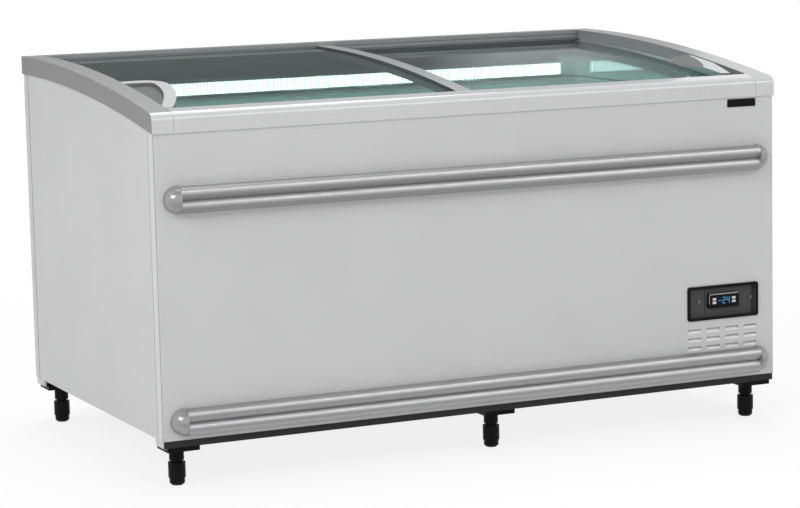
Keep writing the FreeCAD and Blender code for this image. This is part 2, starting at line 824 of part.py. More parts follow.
def build_bumpers():
    """Two hollow bumper rails across the front, each with a domed cap at both ends."""
    high = f"({on_crown(SKIRT, FACE)} - bumper_below_skirt)"
    for word, height in (("upper", high), ("lower", "(floor_gap + bumper_above_base)")):
        end = f"({HALF_LENGTH} - bumper_inset - cap_length)"
        x = both(end)
        rail = bumper_section(word + "_bumper_outside", x, height, "0")
        bore = bumper_section(word + "_bumper_inside", x, height, "bumper_wall")
        piece(word + "_bumper", cut(word + "_bumper_rail", rail, bore))
        caps = []
        for side, side_word in ((LEFT, "left"), (RIGHT, "right")):
            name = word + "_" + side_word + "_cap"
            dome = doc.addObject("Part::Ellipsoid", name + "_dome")
            place(dome, f"{side} * {end}", f"-{HALF_DEPTH}", height)
            bind(dome, "Radius1", "cap_half")
            bind(dome, "Radius2", "cap_length")
            bind(dome, "Radius3", "cap_out")
            space = box(name + "_space", span(side, end, f"{end} + cap_length"),
                        (f"-{HALF_DEPTH} - cap_out", f"-{HALF_DEPTH}"),
                        (f"{height} - cap_half", f"{height} + cap_half"))
            caps.append(common(name, dome, space))
        piece(word + "_bumper_caps", group(word + "_cap_pair", *caps))


# Controls

BEZEL_X = (f"({HALF_LENGTH} - bezel_inset - bezel_width)", f"({HALF_LENGTH} - bezel_inset)")
BEZEL_Z = ("(floor_gap + bezel_above_base)", "(floor_gap + bezel_above_base + bezel_height)")
TRAY_X = (f"({BEZEL_X[0]} + bezel_rim - tray_wall)", f"({BEZEL_X[1]} - bezel_rim + tray_wall)")
TRAY_Z = (f"({BEZEL_Z[0]} + bezel_rim - tray_wall)", f"({BEZEL_Z[1]} - bezel_rim + tray_wall)")
CONTROL_X = f"({BEZEL_X[0]} + bezel_width / 2 + controller_offset)"
CONTROL_Z = f"({BEZEL_Z[0]} + bezel_height / 2 + controller_offset)"
TRAY_FLOOR = f"({FACE} + tray_recess)"
CONTROL_FACE = f"({TRAY_FLOOR} - controller_proud)"


def control_hole():
    """The opening in the front panel for the control tray."""
    return box("control_opening", wider(TRAY_X, "control_gap"), (f"{FACE} - skin", f"{FACE} + 2 * skin"),
               wider(TRAY_Z, "control_gap"))


def build_controls():
    """A black tray with a rim, held by two screws, and a controller with a display and four buttons."""
    rim_y = (f"{FACE} - bezel_proud", FACE)
    rim = rounded_plate("bezel_rim_plate", BEZEL_X, rim_y, BEZEL_Z, "bezel_corner")
    tray = box("tray_block", TRAY_X, (FACE, f"{TRAY_FLOOR} + tray_floor"), TRAY_Z)
    hollow = box("tray_hollow", wider(TRAY_X, "-tray_wall"), (rim_y[0], TRAY_FLOOR),
                 wider(TRAY_Z, "-tray_wall"))
    body_x = about(CONTROL_X, "controller_body_width")
    body_z = about(CONTROL_Z, "controller_body_height")
    body_y = (TRAY_FLOOR, f"{TRAY_FLOOR} + controller_body_depth")
    body_hole = box("tray_body_hole", wider(body_x, "control_gap"),
                    (TRAY_FLOOR, f"{TRAY_FLOOR} + tray_floor"), wider(body_z, "control_gap"))
    front_x = about(CONTROL_X, "controller_width")
    front_z = about(CONTROL_Z, "controller_height")
    surround_y = (f"{TRAY_FLOOR} - surround_proud", TRAY_FLOOR)
    surround = cut(
        "surround_ring",
        box("surround_plate", about(CONTROL_X, "surround_width"), surround_y,
            about(CONTROL_Z, "surround_height")),
        box("surround_hole", wider(front_x, "control_gap"), surround_y, wider(front_z, "control_gap")),
    )
    screw_places = [f"{CONTROL_X} + screw_offset + {side} * screw_spread" for side in (LEFT, RIGHT)]
    holes = []
    screws = []
    for number, x in enumerate(screw_places):
        start = (x, TRAY_FLOOR, CONTROL_Z)
        hole_radius = "screw_shank / 2 + control_gap / 3"
        holes.append(rod("screw_hole_%d" % number, "y", start, hole_radius, "tray_floor"))
        head = rod("screw_head_%d" % number, "y", (x, f"{TRAY_FLOOR} - screw_head_height", CONTROL_Z),
                   "screw_head / 2", "screw_head_height")
        shank = rod("screw_shank_%d" % number, "y", start, "screw_shank / 2", "3 * tray_floor")
        screws.append(fuse("screw_%d" % number, head, shank))
    tray = cut("bezel_tray", fuse("bezel_whole", rim, tray), hollow, body_hole, *holes)
    piece("control_bezel", fuse("bezel", tray, surround))
    piece("control_screws", group("control_screw_pair", *screws))

    front = rounded_plate("controller_front", front_x, (CONTROL_FACE, TRAY_FLOOR), front_z,
                          "controller_corner")
    body = box("controller_back", body_x, body_y, body_z)
    display_x = about(CONTROL_X, "display_width")
    display_y = (CONTROL_FACE, f"{CONTROL_FACE} + display_depth")
    display_z = about(CONTROL_Z, "display_height")
    pockets = [box("display_pocket", display_x, display_y, display_z)]
    piece("display_lens", box("display", display_x, display_y, display_z))
    for side, side_word in ((LEFT, "left"), (RIGHT, "right")):
        for level, level_word in ((1, "upper"), (-1, "lower")):
            name = "button_%s_%s" % (side_word, level_word)
            x = about(f"{CONTROL_X} + {side} * button_spread", "button_width")
            z = about(f"{CONTROL_Z} + {level} * button_rise", "button_height")
            y = (f"{CONTROL_FACE} - button_proud", f"{CONTROL_FACE} - button_proud + button_length")
            pocket_y = (CONTROL_FACE, f"{y[1]} + button_travel + 2 * control_gap")
            pockets.append(box(name + "_pocket", wider(x, "control_gap"), pocket_y,
                               wider(z, "control_gap")))
            piece(name, box(name + "_block", x, y, z))
    piece("controller", cut("controller_cut", fuse("controller_whole", front, body), *pockets))


def build_name_plate():
    """A blank plate under the rail's right end."""
    top = f"({on_crown(SKIRT, FACE)} - plate_drop)"
    right = f"{HALF_LENGTH} - plate_inset"
    piece("blank_plate", rounded_plate("blank_plate_whole", (f"{right} - plate_width", right),
                                       (f"{FACE} - plate_thickness", FACE), (f"{top} - plate_height", top),
                                       "plate_corner"))


# Base and feet


def tube_block(name, x, y, z, along):
    """A rectangular tube with its bore along X or Y."""
    outside = box(name + "_out", x, y, z)
    bore_x = x if along == "x" else wider(x, "-channel_wall")
    bore_y = y if along == "y" else wider(y, "-channel_wall")
    return cut(name, outside, box(name + "_bore", bore_x, bore_y, wider(z, "-channel_wall")))


def build_base():
    """A frame of steel tube under the bottom panel."""
    z = ("floor_gap - channel_height", "floor_gap")
    x = both(f"{HALF_LENGTH} - channel_end")
    outer = f"({HALF_DEPTH} - channel_setback)"
    inner = f"({outer} - channel_width)"
    tubes = [
        tube_block("front_tube", x, (f"-{outer}", f"-{inner}"), z, "x"),
        tube_block("rear_tube", x, (inner, outer), z, "x"),
    ]
    cross_outer = f"({HALF_LENGTH} - cross_setback)"
    cross_end = f"({inner} + channel_wall / 2)"
    for side, word in ((LEFT, "left"), (RIGHT, "right")):
        cross_x = span(side, f"{cross_outer} - channel_width", cross_outer)
        tubes.append(tube_block(word + "_tube", cross_x, both(cross_end), z, "y"))
    strip_y = (f"-{outer} - base_strip", f"-{outer} + channel_wall / 2")
    tubes.append(box("base_front_strip", both(f"{HALF_LENGTH} - base_strip_end"), strip_y, z))
    piece("base_frame", fuse("base_tubes", *tubes))
    end = f"({HALF_LENGTH} - channel_end)"
    cap_z = ("floor_gap - base_cap_height", "floor_gap")
    caps = [
        box(f"{word}_{place_word}_base_cap", span(side, end, f"{end} + base_cap"), cap_y, cap_z)
        for side, word in ((LEFT, "left"), (RIGHT, "right"))
        for place_word, cap_y in (
            ("front", (f"-{outer} + channel_wall", f"-{outer} + base_cap_length")),
            ("rear", (f"{outer} - base_cap_length", outer)),
        )
    ]
    piece("base_end_caps", group("four_base_caps", *caps))


FOOT_PLACES = {
    "front_left": (f"-({HALF_LENGTH} - foot_inset_x)", f"-({HALF_DEPTH} - foot_inset_y)"),
    "front_middle": ("foot_middle", f"-({HALF_DEPTH} - foot_inset_y)"),
    "front_right": (f"{HALF_LENGTH} - foot_inset_x", f"-({HALF_DEPTH} - foot_inset_y)"),
    "rear_left": (f"-({HALF_LENGTH} - foot_inset_x)", f"{HALF_DEPTH} - foot_inset_y"),
    "rear_middle": ("foot_middle", f"{HALF_DEPTH} - foot_inset_y"),
    "rear_right": (f"{HALF_LENGTH} - foot_inset_x", f"{HALF_DEPTH} - foot_inset_y"),
}


PLATE_Z = ("(floor_gap - channel_height - bracket_plate)", "(floor_gap - channel_height)")
SOCKET_LOW = f"({PLATE_Z[0]} - socket_length)"
THREAD_TOP = f"({PLATE_Z[0]} - thread_end_gap)"


def build_feet():
    """Six sockets on plates under the base, and a levelling foot on a thread in each."""
    sockets = []
    for word, (x, y) in FOOT_PLACES.items():
        side = LEFT if word.startswith("front") else RIGHT
        near = f"{HALF_DEPTH} - foot_inset_y - socket_radius - bracket_lap"
        plate_y = span(side, near, f"{HALF_DEPTH} - channel_setback")
        plate = box(word + "_plate", about(x, "bracket_size"), plate_y, PLATE_Z)
        post = rod(word + "_post", "z", (x, y, SOCKET_LOW), "socket_radius", "socket_length")
        thread = rod(word + "_bore", "z", (x, y, SOCKET_LOW), "thread_radius + thread_gap",
                     "socket_length - thread_end_gap / 2")
        sockets.append(cut(word + "_socket", fuse(word + "_bracket", plate, post), thread))
        piece("foot_" + word, foot(word, x, y))
    piece("foot_sockets", group("six_sockets", *sockets))


def foot(word, x, y):
    """One foot, turned about its own axis: a stepped toe, a wider sleeve and a threaded stem."""
    body = doc.addObject("PartDesign::Body", "foot_body_" + word)
    place(body, x, y, "0")
    sketch = body.newObject("Sketcher::SketchObject", "foot_outline_" + word)
    plane = next(item for item in body.Origin.OriginFeatures if item.Role == "XZ_Plane")
    sketch.AttachmentSupport = (plane, [""])
    sketch.MapMode = "FlatFace"
    outline(sketch, [
        ("0", "0"),
        ("toe_radius - toe_chamfer", "0"),
        ("toe_radius", "toe_chamfer"),
        ("toe_radius", "sleeve_step"),
        ("sleeve_radius", "sleeve_step"),
        ("sleeve_radius", "sleeve_top"),
        ("thread_radius", "sleeve_top"),
        ("thread_radius", THREAD_TOP),
        ("0", THREAD_TOP),
    ])
    turned = body.newObject("PartDesign::Revolution", "foot_turned_" + word)
    turned.Profile = sketch
    turned.ReferenceAxis = (sketch, ["V_Axis"])
    turned.Angle = 360
    return body


# Machine room

CONDENSER_FRONT = f"({FACE} + condenser_setback)"
FAN_FACE = f"({CONDENSER_FRONT} + condenser_depth)"
CONDENSER_LOW = "(floor_gap + condenser_above_base)"
CONDENSER_TOP = f"({CONDENSER_LOW} + condenser_height)"
COMPRESSOR_Y = f"({HALF_DEPTH} - compressor_inset)"
FAN_Z = f"({CONDENSER_LOW} + condenser_height / 2)"
MOTOR_FRONT = f"({FAN_FACE} + shroud_thickness + hub_length + 2 * motor_gap)"


def build_condenser():
    """Finned tubes behind the louvres."""
    x = about(MACHINE_MIDDLE, "condenser_width")
    y = (CONDENSER_FRONT, FAN_FACE)
    z = ("floor_gap + skin", CONDENSER_TOP)
    fins = []
    for number in range(FIN_COUNT):
        fin_x = about(f"{x[0]} + ({number} + 0.5) * condenser_width / {FIN_COUNT}", "fin_thickness")
        fin_z = (CONDENSER_LOW, z[1]) if 0 < number < FIN_COUNT - 1 else z
        fins.append(box("fin_%d" % number, fin_x, y, fin_z))
    tubes = []
    for row in range(TUBE_ROWS):
        for column in range(TUBE_COLUMNS):
            tube_y = f"{CONDENSER_FRONT} + ({column} + 0.5) * condenser_depth / {TUBE_COLUMNS}"
            tube_z = f"{CONDENSER_LOW} + ({row} + 0.5) * condenser_height / {TUBE_ROWS}"
            tubes.append(rod("condenser_tube_%d_%d" % (row, column), "x", (x[0], tube_y, tube_z),
                             "tube_radius", "condenser_width"))
    piece("condenser_coil", fuse("condenser", *fins, *tubes))


def build_fan():
    """A shroud on the condenser's back, an axial fan in it, and its motor on a bracket."""
    square = about(MACHINE_MIDDLE, "condenser_width")
    height = (CONDENSER_LOW, CONDENSER_TOP)
    plate = box("shroud_plate", square, (FAN_FACE, f"{FAN_FACE} + shroud_thickness"), height)
    mouth = rod("shroud_mouth", "y", (MACHINE_MIDDLE, FAN_FACE, FAN_Z), "fan_radius + fan_clearance",
                "shroud_thickness")
    piece("fan_shroud", cut("shroud", plate, mouth))

    hub_start = f"({FAN_FACE} + motor_gap)"
    hub = rod("fan_hub", "y", (MACHINE_MIDDLE, hub_start, FAN_Z), "hub_radius", "hub_length")
    bore = rod("fan_bore", "y", (MACHINE_MIDDLE, f"{hub_start} + motor_gap", FAN_Z),
               "shaft_radius + shaft_gap", "hub_length - motor_gap")
    blades = []
    for number in range(BLADE_COUNT):
        blade = doc.addObject("Part::Box", "fan_blade_%d" % number)
        pitch = FreeCAD.Rotation(FreeCAD.Vector(1, 0, 0), SIZES["blade_angle"])
        turn = FreeCAD.Rotation(FreeCAD.Vector(0, 1, 0), 360 * number / BLADE_COUNT)
        bind(blade, "Length", "fan_radius - hub_radius / 2")
        bind(blade, "Width", "blade_thickness")
        bind(blade, "Height", "blade_width")
        start = turn.multVec(FreeCAD.Vector(SIZES["hub_radius"] / 2, 0, 0)
                             + pitch.multVec(FreeCAD.Vector(0, 0, -SIZES["blade_width"] / 2)))
        blade.Placement = FreeCAD.Placement(FreeCAD.Vector(), turn.multiply(pitch))
        place(blade, f"{MACHINE_MIDDLE} + {start.x}", f"{hub_start} + hub_length / 2 + {start.y}",
              f"{FAN_Z} + {start.z}")
        blades.append(blade)
    piece("condenser_fan", cut("fan", fuse("fan_whole", hub, *blades), bore))

    shaft_start = f"({hub_start} + motor_gap + shaft_gap)"
    shaft = rod("motor_shaft", "y", (MACHINE_MIDDLE, shaft_start, FAN_Z), "shaft_radius",
                f"{MOTOR_FRONT} - {shaft_start}")
    case = rod("motor_case", "y", (MACHINE_MIDDLE, MOTOR_FRONT, FAN_Z), "motor_radius", "motor_length")
    piece("fan_motor", fuse("motor", shaft, case))

    bar_z = about(FAN_Z, "bracket_bar")
    bar_y = (f"{MOTOR_FRONT} + motor_length", f"{MOTOR_FRONT} + motor_length + bracket_sheet")
    bar = box("bracket_back", square, bar_y, bar_z)
    legs = [
        box("bracket_leg_" + word, limits, (f"{FAN_FACE} + shroud_thickness", bar_y[1]), bar_z)
        for word, limits in (
            ("left", (square[0], f"{square[0]} + bracket_sheet")),
            ("right", (f"{square[1]} - bracket_sheet", square[1])),
        )
    ]
    piece("motor_bracket", fuse("bracket", bar, *legs))


def build_compressor():
    """A hermetic compressor on a plate with four rubber feet, and its relay box."""
    plate_low = "(floor_gap + skin + grommet_height)"
    plate_z = (plate_low, f"{plate_low} + compressor_plate")
    middle = f"({plate_z[1]} + compressor_stand)"
    plate = box("compressor_base", about(MACHINE_MIDDLE, "compressor_plate_length"),
                about(COMPRESSOR_Y, "compressor_plate_width"), plate_z)
    shell = doc.addObject("Part::Ellipsoid", "compressor_shell")
    place(shell, MACHINE_MIDDLE, COMPRESSOR_Y, middle)
    bind(shell, "Radius1", "compressor_rise")
    bind(shell, "Radius2", "compressor_radius")
    bind(shell, "Radius3", "compressor_radius")
    flange = rod("compressor_flange", "z", (MACHINE_MIDDLE, COMPRESSOR_Y, middle),
                 "compressor_radius + flange_out", "flange_height")
    stand = rod("compressor_leg", "z", (MACHINE_MIDDLE, COMPRESSOR_Y, plate_z[1]), "compressor_radius / 2",
                "compressor_stand")
    shell_face = f"{COMPRESSOR_Y} - compressor_radius"
    relay_y = (f"{shell_face} - relay_depth", f"{shell_face} + compressor_radius / 2")
    relay_box = box("relay_block", about(MACHINE_MIDDLE, "relay_width"), relay_y,
                    about(middle, "relay_height"))
    housing = fuse("compressor_whole", plate, shell, flange, stand)
    piece("compressor", housing)
    piece("compressor_relay", cut("relay", relay_box, shell, flange))
    grommets = [
        rod("grommet_%d_%d" % (along, across), "z",
            (f"{MACHINE_MIDDLE} + {along} * (compressor_plate_length / 2 - grommet_radius)",
             f"{COMPRESSOR_Y} + {across} * (compressor_plate_width / 2 - grommet_radius)",
             "floor_gap + skin"),
            "grommet_radius", "grommet_height")
        for along in (LEFT, RIGHT) for across in (-1, 1)
    ]
    piece("compressor_grommets", group("four_grommets", *grommets))


def grille_limits(lap):
    """The rear grille's length and height limits, with a lap all round on request."""
    x = about(MACHINE_MIDDLE, f"grille_length + 2 * {lap}")
    low = "floor_gap + grille_above_base"
    z = (f"{low} - {lap}", f"{low} + grille_height + {lap}")
    return x, z


def grille_hole():
    x, z = grille_limits("0")
    return box("grille_opening", x, (f"{HALF_DEPTH} - 2 * skin", f"{HALF_DEPTH} + skin"), z)


GLAND_PLACE = (f"({HALF_LENGTH} - gland_inset)", "(floor_gap + gland_above_base)")


def gland_hole():
    x, z = GLAND_PLACE
    return rod("gland_opening", "y", (x, f"{HALF_DEPTH} - 2 * skin", z), "gland_neck", "3 * skin")


def build_rear_fittings():
    """A slotted grille over the machine room and the gland where the mains lead goes in."""
    x, z = grille_limits("grille_lap")
    plate = box("grille_plate", x, (HALF_DEPTH, f"{HALF_DEPTH} + grille_sheet"), z)
    open_x, open_z = grille_limits("0")
    slots = [
        box("grille_slot_%d" % number, wider(open_x, "-slot_margin"),
            (HALF_DEPTH, f"{HALF_DEPTH} + grille_sheet"),
            (f"{open_z[0]} + slot_margin + {number} * slot_pitch",
             f"{open_z[0]} + slot_margin + {number} * slot_pitch + slot_height"))
        for number in range(SLOT_COUNT)
    ]
    piece("rear_grille", cut("grille", plate, *slots))
    x, z = GLAND_PLACE
    collar = rod("gland_outside", "y", (x, HALF_DEPTH, z), "gland_radius", "gland_collar")
    neck = rod("gland_inside", "y", (x, f"{HALF_DEPTH} - gland_length", z), "gland_neck", "gland_length")
    piece("mains_gland", fuse("gland", collar, neck))


def check_and_write():
    """Recompute, stop on any failed object, and write each sub-part."""
    doc.recompute()
    failed = [item.Name for item in doc.Objects if {"Invalid", "Error"} & set(item.State)]
    if failed:
        raise RuntimeError("failed objects: " + ", ".join(failed))
    for item in pieces:
        if item.Shape.isNull() or not item.Shape.isValid() or not item.Shape.Solids:
            raise RuntimeError("no sound solid in " + item.Label)
    os.makedirs("parts", exist_ok=True)
    for item in pieces:
        item.Shape.exportStep("parts/%s.step" % item.Label)
    print(len(pieces), "sub-parts written")


build_skins()
build_insulation()
build_liner()
build_frame()
build_collar()
build_lids()
build_light()
build_bumpers()
build_controls()
build_name_plate()
build_base()
build_feet()
build_condenser()
build_fan()
build_compressor()
build_rear_fittings()
check_and_write()
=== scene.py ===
"""Looks of the island freezer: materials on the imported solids, and the fine pieces that they leave out.

Metres, in the row frame: +X along the cabinet to the right, +Y from the front to the back and +Z up
from the floor.
"""
import bmesh
import bpy
import json
import math
from mathutils import Matrix, Vector


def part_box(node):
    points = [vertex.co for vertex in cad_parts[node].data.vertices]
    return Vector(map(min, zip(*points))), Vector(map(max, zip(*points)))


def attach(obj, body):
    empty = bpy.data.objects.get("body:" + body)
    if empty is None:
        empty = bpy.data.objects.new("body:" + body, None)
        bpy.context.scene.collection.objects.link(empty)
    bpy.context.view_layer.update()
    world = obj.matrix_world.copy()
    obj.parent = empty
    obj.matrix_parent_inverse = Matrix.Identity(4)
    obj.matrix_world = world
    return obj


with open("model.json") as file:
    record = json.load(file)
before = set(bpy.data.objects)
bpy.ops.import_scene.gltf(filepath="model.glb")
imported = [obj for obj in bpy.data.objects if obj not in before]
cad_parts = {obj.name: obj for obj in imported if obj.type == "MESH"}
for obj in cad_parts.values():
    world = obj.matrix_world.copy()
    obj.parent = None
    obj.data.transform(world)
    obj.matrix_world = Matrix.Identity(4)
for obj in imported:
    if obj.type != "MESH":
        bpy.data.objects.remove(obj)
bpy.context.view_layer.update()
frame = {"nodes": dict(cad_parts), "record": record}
nodes = frame["nodes"]
MM = 0.001
MICRON = 0.001 * MM
SIDES = ("left", "right")

# Shader parts

NOISE_RANGE = (0.3, 0.7)  # most values of a noise lie between these


def shader_tree(name):
    """An empty material with its Principled shader, and a function that adds a node."""
    material = bpy.data.materials.new(name)
    material.use_nodes = True
    tree = material.node_tree
    principled = tree.nodes["Principled BSDF"]

    def add(kind, **values):
        node = tree.nodes.new(kind)
        for key, value in values.items():
            setattr(node, key, value)
        return node
    return material, tree, principled, add


def set_inputs(node, values):
    """Set a shader node's inputs by their names."""
    for name, value in values.items():
        node.inputs[name].default_value = value


def noise(tree, add, scale, stretch=(1, 1, 1), detail=3.0):
    """A noise over the object's own coordinates, stretched along chosen axes."""
    place = add("ShaderNodeTexCoord")
    mapping = add("ShaderNodeMapping")
    set_inputs(mapping, {"Scale": stretch})
    texture = add("ShaderNodeTexNoise")
    set_inputs(texture, {"Scale": scale, "Detail": detail})
    tree.links.new(place.outputs["Object"], mapping.inputs["Vector"])
    tree.links.new(mapping.outputs["Vector"], texture.inputs["Vector"])
    return texture.outputs["Fac"]


def map_range(add, start, end, low=0.0, high=1.0):
    """A node that maps one range of values on to another."""
    ranged = add("ShaderNodeMapRange")
    set_inputs(ranged, {"From Min": start, "From Max": end, "To Min": low, "To Max": high})
    return ranged


def spread(tree, add, source, low, high):
    """Map a noise's usual range on to two values."""
    ranged = map_range(add, *NOISE_RANGE, low, high)
    tree.links.new(source, ranged.inputs["Value"])
    return ranged.outputs["Result"]


def vary_colour(tree, add, principled, source, colour, amount):
    """Let a noise lighten and darken the base colour a little."""
    ramp = add("ShaderNodeValToRGB")
    for stop, position, share in zip(ramp.color_ramp.elements, NOISE_RANGE, (1 - amount, 1 + amount)):
        stop.position = position
        stop.color = (*[min(1, part * share) for part in colour], 1)
    tree.links.new(source, ramp.inputs["Fac"])
    tree.links.new(ramp.outputs["Color"], principled.inputs["Base Color"])


def vary_roughness(tree, add, principled, source, roughness, shares):
    """Let a noise move the roughness between two shares of its value."""
    low, high = [roughness * share for share in shares]
    tree.links.new(spread(tree, add, source, low, high), principled.inputs["Roughness"])


def add_bump(tree, add, principled, source, height):
    """A bump of a real height in metres."""
    bump = add("ShaderNodeBump")
    set_inputs(bump, {"Strength": 1.0, "Distance": height})
    tree.links.new(source, bump.inputs["Height"])
    tree.links.new(bump.outputs["Normal"], principled.inputs["Normal"])


# Materials

TONE_SCALE = 5  # of the noise that slowly changes the tone of a painted surface
GLOW_SCALE = 200  # of the noise on a lit face


def painted(name, colour, roughness, grain=900, peel=20 * MICRON, metallic=0.0, tone=0.02, shine=0.5):
    """Sprayed or moulded surface: a slow change of tone and a fine skin texture."""
    material, tree, principled, add = shader_tree(name)
    set_inputs(principled, {"Metallic": metallic, "Specular IOR Level": shine})
    vary_colour(tree, add, principled, noise(tree, add, TONE_SCALE), colour, tone)
    fine = noise(tree, add, grain, detail=2)
    vary_roughness(tree, add, principled, fine, roughness, shares=(0.9, 1.1))
    add_bump(tree, add, principled, fine, peel)
    return material


def brushed(name, colour, roughness, along=(0.02, 1, 1), grain=900, scratch=10 * MICRON, tone=0.05):
    """Metal with fine lines along one axis."""
    material, tree, principled, add = shader_tree(name)
    set_inputs(principled, {"Metallic": 1.0})
    lines = noise(tree, add, grain, along, detail=4)
    vary_colour(tree, add, principled, lines, colour, tone)
    vary_roughness(tree, add, principled, lines, roughness, shares=(0.8, 1.25))
    add_bump(tree, add, principled, lines, scratch)
    return material


def lid_glass():
    """Tinted float glass that lets the lamps through to the tub."""
    tint = (0.66, 0.87, 0.83, 1)
    shadow_tint = (0.74, 0.91, 0.88, 1)
    smear_scale, smear_roughness = 9, 0.02
    material, tree, principled, add = shader_tree("lid_glass")
    set_inputs(principled, {"Base Color": tint, "Transmission Weight": 1.0, "IOR": 1.45})
    smear = noise(tree, add, smear_scale, detail=4)
    tree.links.new(spread(tree, add, smear, 0.0, smear_roughness), principled.inputs["Roughness"])
    through = add("ShaderNodeBsdfTransparent")
    set_inputs(through, {"Color": shadow_tint})
    path = add("ShaderNodeLightPath")
    mix = add("ShaderNodeMixShader")
    tree.links.new(path.outputs["Is Shadow Ray"], mix.inputs["Fac"])
    tree.links.new(principled.outputs["BSDF"], mix.inputs[1])
    tree.links.new(through.outputs["BSDF"], mix.inputs[2])
    tree.links.new(mix.outputs["Shader"], tree.nodes["Material Output"].inputs["Surface"])
    return material


def glowing(name, colour, strength, body=(0.9, 0.95, 0.95)):
    """A lamp's or a digit's lit face."""
    material, tree, principled, add = shader_tree(name)
    vary_colour(tree, add, principled, noise(tree, add, GLOW_SCALE), body, amount=0.03)
    set_inputs(principled, {
        "Roughness": 0.4,
        "Emission Color": (*colour, 1),
        "Emission Strength": strength,
    })
    return material


PAINTED = {
    # cabinet and tub
    "panel_paint": dict(colour=(0.58, 0.58, 0.58), roughness=0.42, peel=10 * MICRON),
    # painted highlight: a lighter copy of the panel paint for the side returns, where the bend catches the
    # light
    "return_paint": dict(colour=(0.64, 0.64, 0.64), roughness=0.42, peel=10 * MICRON),
    # painted light: a lighter copy of the panel paint for the louvres' slopes, which face up into the light
    "louvre_paint": dict(colour=(0.80, 0.80, 0.80), roughness=0.42, peel=10 * MICRON),
    # painted shadow: the dark of the narrow gaps where the panels meet
    "seam_dark": dict(colour=(0.12, 0.12, 0.12), roughness=0.7),
    "galvanised_sheet": dict(colour=(0.42, 0.43, 0.44), roughness=0.4, grain=60, metallic=0.9, tone=0.15),
    "foam": dict(colour=(0.80, 0.72, 0.45), roughness=0.9, grain=300, peel=400 * MICRON, tone=0.08),
    "liner_sheet": dict(colour=(0.59, 0.635, 0.63), roughness=0.015, peel=0.2 * MICRON, metallic=0.18,
                        shine=1.0),
    "light_housing": dict(colour=(0.05, 0.07, 0.068), roughness=0.5),
    # frame round the top
    "frame_grey": dict(colour=(0.42, 0.42, 0.425), roughness=0.25, grain=1400),
    # painted shade: a darker copy of frame_grey for the end frames' faces that face left and right
    "frame_side": dict(colour=(0.21, 0.21, 0.212), roughness=0.4, grain=1400),
    "rail_silver": dict(colour=(0.60, 0.60, 0.605), roughness=0.1, grain=1400, peel=6 * MICRON),
    "rail_dark": dict(colour=(0.26, 0.26, 0.264), roughness=0.4, grain=1400),
    "collar_plastic": dict(colour=(0.05, 0.055, 0.055), roughness=0.5, grain=1200),
    # lids
    "runner_plastic": dict(colour=(0.03, 0.03, 0.03), roughness=0.6),
    "grip_plastic": dict(colour=(0.55, 0.56, 0.56), roughness=0.4, grain=1400),
    # the collars' dark grey, and painted shade in the grips' dishes
    "grip_dark": dict(colour=(0.15, 0.155, 0.155), roughness=0.4, grain=1400),
    # glossy grip plastic, darkened as painted shade for the faces in the dish
    "grip_gloss": dict(colour=(0.24, 0.242, 0.242), roughness=0.06, grain=1400, peel=6 * MICRON, shine=1.0),
    "brush": dict(colour=(0.04, 0.04, 0.04), roughness=0.95, grain=2500, peel=300 * MICRON),
    # bumpers, controls and badge
    "cap_plastic": dict(colour=(0.33, 0.33, 0.335), roughness=0.14, grain=1400, peel=6 * MICRON,
                        metallic=0.3),
    "control_black": dict(colour=(0.006, 0.006, 0.007), roughness=0.3, grain=1600, shine=0.1),
    # the tray's grey floor, and painted light on its right and lower walls
    "tray_grey": dict(colour=(0.055, 0.055, 0.057), roughness=0.1, grain=1600, peel=6 * MICRON),
    "display": dict(colour=(0.004, 0.007, 0.012), roughness=0.12, shine=0.2),
    "button_grey": dict(colour=(0.60, 0.60, 0.61), roughness=0.4, grain=1600),
    "plate_black": dict(colour=(0.004, 0.004, 0.004), roughness=0.25, shine=0.1),
    # base and machine room
    "base_steel": dict(colour=(0.022, 0.022, 0.023), roughness=0.5, tone=0.1, shine=0.25),
    "foot_plastic": dict(colour=(0.006, 0.006, 0.006), roughness=0.4, grain=1600, shine=0.08),
    "fan_plastic": dict(colour=(0.02, 0.02, 0.022), roughness=0.5),
    "shroud_steel": dict(colour=(0.35, 0.36, 0.37), roughness=0.4, tone=0.06),
    "motor_black": dict(colour=(0.02, 0.02, 0.02), roughness=0.35),
    "relay_plastic": dict(colour=(0.03, 0.03, 0.03), roughness=0.5),
    "grommet_rubber": dict(colour=(0.02, 0.02, 0.02), roughness=0.8),
}
BRUSHED = {
    "lid_aluminium": dict(colour=(0.60, 0.62, 0.62), roughness=0.35, along=(1, 0.02, 1)),
    "bumper_aluminium": dict(colour=(0.40, 0.40, 0.405), roughness=0.46),
    "screw_steel": dict(colour=(0.22, 0.22, 0.225), roughness=0.4),
    "coil_metal": dict(colour=(0.55, 0.55, 0.56), roughness=0.4, along=(1, 1, 0.05)),
}
GLOWING = {
    "light_lens": dict(colour=(0.88, 1.0, 0.97), strength=1.2),
    "light_chip": dict(colour=(0.92, 1.0, 0.98), strength=6.0),
    "digit": dict(colour=(0.06, 0.36, 0.66), strength=1.0, body=(0.02, 0.1, 0.2)),
}
MATERIALS = {"lid_glass": lid_glass()}
for make, looks in ((painted, PAINTED), (brushed, BRUSHED), (glowing, GLOWING)):
    for name, look in looks.items():
        MATERIALS[name] = make(name, **look)


def dress_nodes():
    """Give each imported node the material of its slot."""
    for part in frame["record"]["subparts"]:
        item = nodes[part["node"]]
        item.data.materials.clear()
        item.data.materials.append(MATERIALS[part["material_slot"]])


# The curved top of the frame, level at the back and lower at the front

